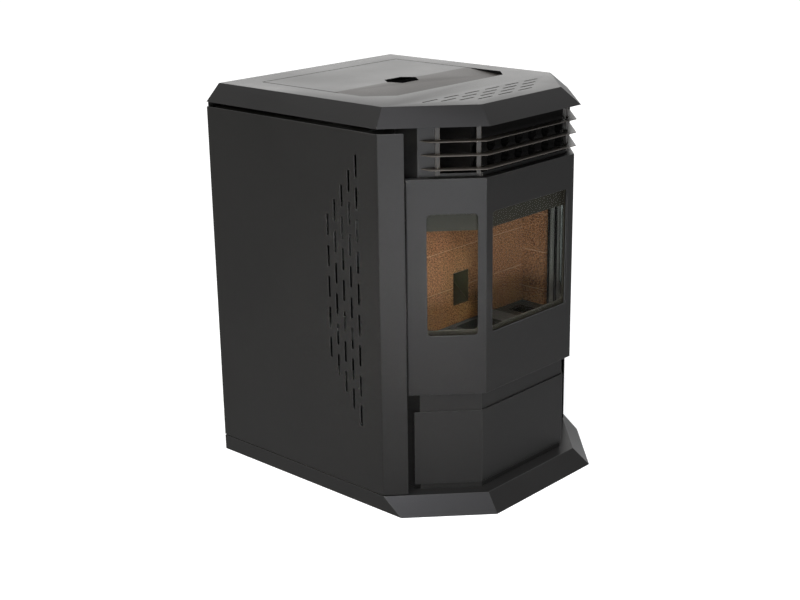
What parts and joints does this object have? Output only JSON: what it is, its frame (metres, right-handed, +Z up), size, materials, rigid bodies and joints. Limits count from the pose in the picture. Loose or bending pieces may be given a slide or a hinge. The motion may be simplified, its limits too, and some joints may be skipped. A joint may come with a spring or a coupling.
{
  "type": "pellet stove",
  "caption": "Free-standing wood-pellet stove with a bay-front glazed door, louvred hot-air outlet, ash drawer, top-filled hopper, screw feed and rear flue.",
  "frame": {"origin": "centre of the bounding box, at floor level", "axes": "+Z up, the door faces -Y, +X to the viewer's right"},
  "size_m": [0.608, 0.7224, 0.83],
  "materials": {
    "case_paint": "fine-textured matt dark grey powder coat",
    "cap_paint": "fine-textured matt dark grey powder coat",
    "inner_steel": "zinc-coated sheet",
    "black_steel": "heat-resistant matt black",
    "cast": "as cast",
    "brick": "speckled vermiculite board",
    "pane": "clear ceramic glass",
    "rope": "braided glass fibre",
    "tape": "woven tape",
    "motor": "satin black",
    "alloy": "plain",
    "plastic": "fine grain",
    "board": "lacquered",
    "fixing": "zinc plated"
  },
  "bodies": {
    "case": {"base_plinth": "case_paint", "left_side_panel": "case_paint", "right_side_panel": "case_paint", "back_panel": "case_paint", "back_screws": "fixing", "top_cap": "cap_paint", "lid_gasket": "rope", "lid_hinge_brackets": "fixing", "hopper": "inner_steel", "hopper_guard": "inner_steel", "feed_chute": "inner_steel", "auger_tube": "black_steel", "auger_gearmotor": "motor", "front_casing": "case_paint", "louvre_grille": "case_paint", "firebox_shell": "black_steel", "heat_exchanger": "black_steel", "firebox_seals": "rope", "hearth_plate": "cast", "back_brick": "brick", "left_brick": "brick", "right_brick": "brick", "baffle_plate": "cast", "pot_cradle": "cast", "igniter": "fixing", "air_intake_pipe": "inner_steel", "door_hinges": "case_paint", "door_catch": "fixing", "exhaust_housing": "alloy", "exhaust_motor": "motor", "flue_outlet": "black_steel", "smoke_duct": "black_steel", "convection_housing": "inner_steel", "convection_motor": "motor", "convection_duct": "inner_steel", "control_bezel": "plastic", "control_board": "board", "power_inlet": "plastic"},
    "lid": {"hopper_lid": "cap_paint", "lid_finger_cup": "black_steel"},
    "door": {"door_frame": "case_paint", "left_glass": "pane", "front_glass": "pane", "right_glass": "pane", "glass_tapes": "tape", "glass_retainer": "black_steel", "door_deflector": "inner_steel", "door_gasket": "rope"},
    "handle": {"door_handle": "case_paint", "latch_cam": "fixing"},
    "ash_drawer": {"ash_drawer_front": "case_paint", "ash_pan": "black_steel"},
    "pot": {"burn_pot": "cast"},
    "feed_screw": {"auger_screw": "fixing"},
    "exhaust_fan": {"exhaust_wheel": "alloy"},
    "room_fan": {"convection_wheel": "alloy"},
    "power_key": {"power_button": "plastic"},
    "less_key": {"less_button": "plastic"},
    "more_key": {"more_button": "plastic"},
    "rocker": {"power_switch": "plastic"}
  },
  "joints": [
    {"name": "lid_hinge", "type": "hinge", "parent": "case", "child": "lid", "pos_m": [0, 0.23974, 0.822], "axis": [-1, 0, 0], "range_deg": [0, 85]},
    {"name": "door_hinge", "type": "hinge", "parent": "case", "child": "door", "pos_m": [-0.2436, -0.2065, 0.47], "axis": [0, 0, -1], "range_deg": [0, 95]},
    {"name": "handle_turn", "type": "hinge", "parent": "door", "child": "handle", "pos_m": [0.25197, -0.21097, 0.47], "axis": [-0.6884, 0.7254, 0], "range_deg": [0, 85]},
    {"name": "ash_drawer_slide", "type": "slide", "parent": "case", "child": "ash_drawer", "axis": [0, -1, 0], "range_m": [0, 0.14]},
    {"name": "pot_lift", "type": "slide", "parent": "case", "child": "pot", "axis": [0, 0, 1], "range_m": [0, 0.08]},
    {"name": "feed_screw_turn", "type": "hinge", "parent": "case", "child": "feed_screw", "pos_m": [0, 0.22124, 0.252], "axis": [0, -0.7431, 0.6691], "continuous": true},
    {"name": "exhaust_fan_turn", "type": "hinge", "parent": "case", "child": "exhaust_fan", "pos_m": [0.145, 0.19624, 0.15], "axis": [1, 0, 0], "continuous": true},
    {"name": "room_fan_turn", "type": "hinge", "parent": "case", "child": "room_fan", "pos_m": [-0.1715, 0.12624, 0.125], "axis": [1, 0, 0], "continuous": true},
    {"name": "power_key_press", "type": "slide", "parent": "case", "child": "power_key", "axis": [-1, 0, 0], "range_m": [0, 0.0018], "stiffness_N_per_m": 300},
    {"name": "less_key_press", "type": "slide", "parent": "case", "child": "less_key", "axis": [-1, 0, 0], "range_m": [0, 0.0018], "stiffness_N_per_m": 300},
    {"name": "more_key_press", "type": "slide", "parent": "case", "child": "more_key", "axis": [-1, 0, 0], "range_m": [0, 0.0018], "stiffness_N_per_m": 300},
    {"name": "rocker_tilt", "type": "hinge", "parent": "case", "child": "rocker", "pos_m": [-0.18, 0.31124, 0.09], "axis": [1, 0, 0], "range_deg": [0, 10]}
  ]
}
